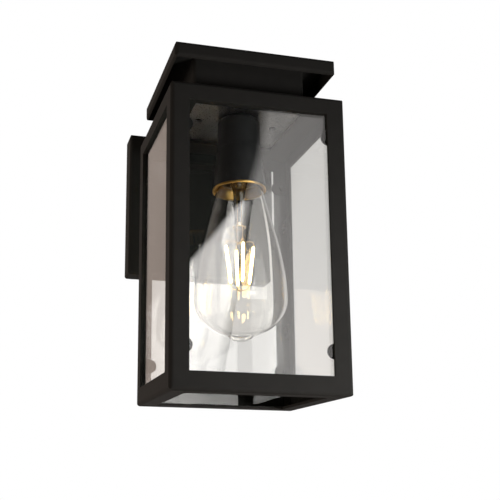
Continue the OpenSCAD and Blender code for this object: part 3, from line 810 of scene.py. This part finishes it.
def build_supports():
    """Filament cage: collars, spokes, metal ends of the sticks, leads and a ring on the stem."""
    parts = []
    wire_r = 0.28 * MM
    end_r = 0.42 * MM
    for i in range(4):
        top = lamp_point(i, *FILAMENT_HIGH)
        low = lamp_point(i, *FILAMENT_LOW)
        along = (low - top).normalized()
        for end, way in [(top, 1), (low, -1)]:
            tip = end + along * way * 1.3 * MM
            parts.append(tube([end - along * way * 0.4 * MM, end, tip, tip + along * way * 0.3 * MM],
                              end_r, 10))
        spoke = [lamp_point(i, 1.5, -59.0), lamp_point(i, 3.5, -58.5), lamp_point(i, 7.0, -57.9),
                 lamp_point(i, 9.4, -58.3), top + Vector((0, 0, 0.2 * MM))]
        parts.append(tube(smooth_path(spoke, 5), wire_r, 8))
        foot = [low, lamp_point(i, 5.9, -90.6), lamp_point(i, 4.2, -92.2), lamp_point(i, 1.4, -92.9)]
        parts.append(tube(smooth_path(foot, 5), wire_r, 8))
    for height, radius in [(-59.2, 1.75), (-93.0, 1.5)]:
        z = LAMP_Z + height
        ring = [(radius - 0.4, z - 0.55), (radius, z - 0.55), (radius, z + 0.55),
                (radius - 0.4, z + 0.55)]
        parts.append(lathe(rounded(ring, 0.15), 32, LAMP_AXIS))
    for side in (-1, 1):
        lead = [(side * 1.5, -59.0), (side * 1.8, -56.0), (side * 2.0, -50.0), (side * 1.6, -44.0),
                (side * 1.7, -30.0), (side * 2.2, -18.0), (side * 4.0, -10.0)]
        path = [Vector((LAMP_X + x * MM, LAMP_Y, (LAMP_Z + z) * MM)) for x, z in lead]
        parts.append(tube(smooth_path(path, 5), wire_r, 8))
    z = LAMP_Z - 48
    ring = [(4.0, z - 0.35), (4.7, z - 0.35), (4.7, z + 0.35), (4.0, z + 0.35)]
    parts.append(lathe(rounded(ring, 0.3), 40, LAMP_AXIS))
    add_piece("bulb_cage_wires", joined("bulb_cage_wires", parts), "bulb", "support_wire",
              ["bulb_supports"])


# ---- Lampholder ----

def build_holder():
    """Black conical shell with rounded lips, and the gold-coloured ring in its mouth."""
    low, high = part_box("holder_body")
    mouth_r = (high.x - low.x) / 2 / MM
    bottom = low.z / MM
    top = high.z / MM
    shell = [
        (mouth_r, bottom), (mouth_r - 0.3, bottom + 2.5), (15.4, LAMP_Z + 8), (15.0, LAMP_Z + 10),
        (15.0, top - 3), (13.0, top), (5.0, top), (5.0, top - 2), (13.0, top - 2), (13.0, LAMP_Z + 12),
        (14.1, LAMP_Z + 12), (14.1, LAMP_Z - 12), (mouth_r - 1.3, bottom),
    ]
    points, faces = lathe(rounded(shell, 0.7), 128, LAMP_AXIS)
    add_piece("holder_shell", mesh_from("holder_shell", points, faces), "lantern", "holder_plastic",
              ["holder_body"])
    ring_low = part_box("holder_ring")[0].z / MM
    ring = [
        (mouth_r, ring_low), (mouth_r, bottom), (mouth_r - 1.3, bottom), (14.3, LAMP_Z - 12.9),
        (13.9, LAMP_Z - 12.9), (mouth_r - 1.6, ring_low + 0.5), (mouth_r - 1.3, ring_low),
    ]
    points, faces = lathe(rounded(ring, 0.35), 128, LAMP_AXIS)
    add_piece("holder_gold_ring", mesh_from("holder_gold_ring", points, faces), "lantern", "brass_ring",
              ["holder_ring"])


# ---- Wires ----

BOX_INNER = -15.5
ARM_Z = 39.0
WIRE_R = 1.1


def lamp_route(side, way):
    """Route of a lamp wire from its terminal, through nipple and arm, to the terminal block."""
    rise = [
        (7, -1, 21), (7, -5.5, 21), (4.5, -6, 22.8), (1.7, -2.2, 24.4), (1.5, -0.5, 26.5), (1.6, 0, 31),
        (1.6, 0, 42), (1.6, 5, 47), (1.6, 14, 48),
    ]
    return [(side * x, LAMP_Y / MM + y, LAMP_Z + z) for x, y, z in rise] + [
        (side * 1.4, LAMP_Y / MM + 26, 43), (side * 1.2, -75, ARM_Z), (side * 1.2, -25, ARM_Z),
        (side * 1.2, BOX_INNER + 3, ARM_Z), (side, BOX_INNER + 6 - 3 * way, ARM_Z - 3.5 + 3.5 * way),
        (-8, BOX_INNER + 5, ARM_Z - 5 + 4 * way), (-18 - 4 * way, BOX_INNER + 6, 20 + 4 * way),
        (-24 - 2 * way, BOX_INNER + 4, 2 + 9 * way), (-28 - way, BOX_INNER + 4, 9 * way),
        (-35, BOX_INNER + 4, 9 * way),
    ]


def build_wires():
    """Live, neutral and earth wires in their sleeves."""
    earth = [
        (-35, BOX_INNER + 4, -9), (-28, BOX_INNER + 4, -9), (-24, BOX_INNER + 4, -12),
        (-14, BOX_INNER + 4, -20), (0, BOX_INNER + 4, -24), (18, BOX_INNER + 4, -20),
        (34, BOX_INNER + 4, -4), (40, BOX_INNER + 4.5, 8), (40, BOX_INNER + 4.5, 16.9),
    ]
    for node, slot, route in [
        ("wire_live", "wire_brown", lamp_route(-1, 1)),
        ("wire_neutral", "wire_blue", lamp_route(1, 0)),
        ("wire_earth", "wire_green", earth),
    ]:
        path = smooth_path([Vector(p) * MM for p in route], 6)
        points, faces, uvs = tube(path, WIRE_R * MM, 14)
        add_piece(node + "_lead", mesh_from(node + "_lead", points, faces, uvs), "lantern", slot, [node])


# ---- Scene ----

bpy.context.scene.view_settings.view_transform = "Standard"
build_camera()
build_floor()
build_world()
build_softboxes()
build_lights()
coat_frame()
build_bulb_glass()
build_bulb_cap()
build_stem()
build_filaments()
build_supports()
build_holder()
build_wires()
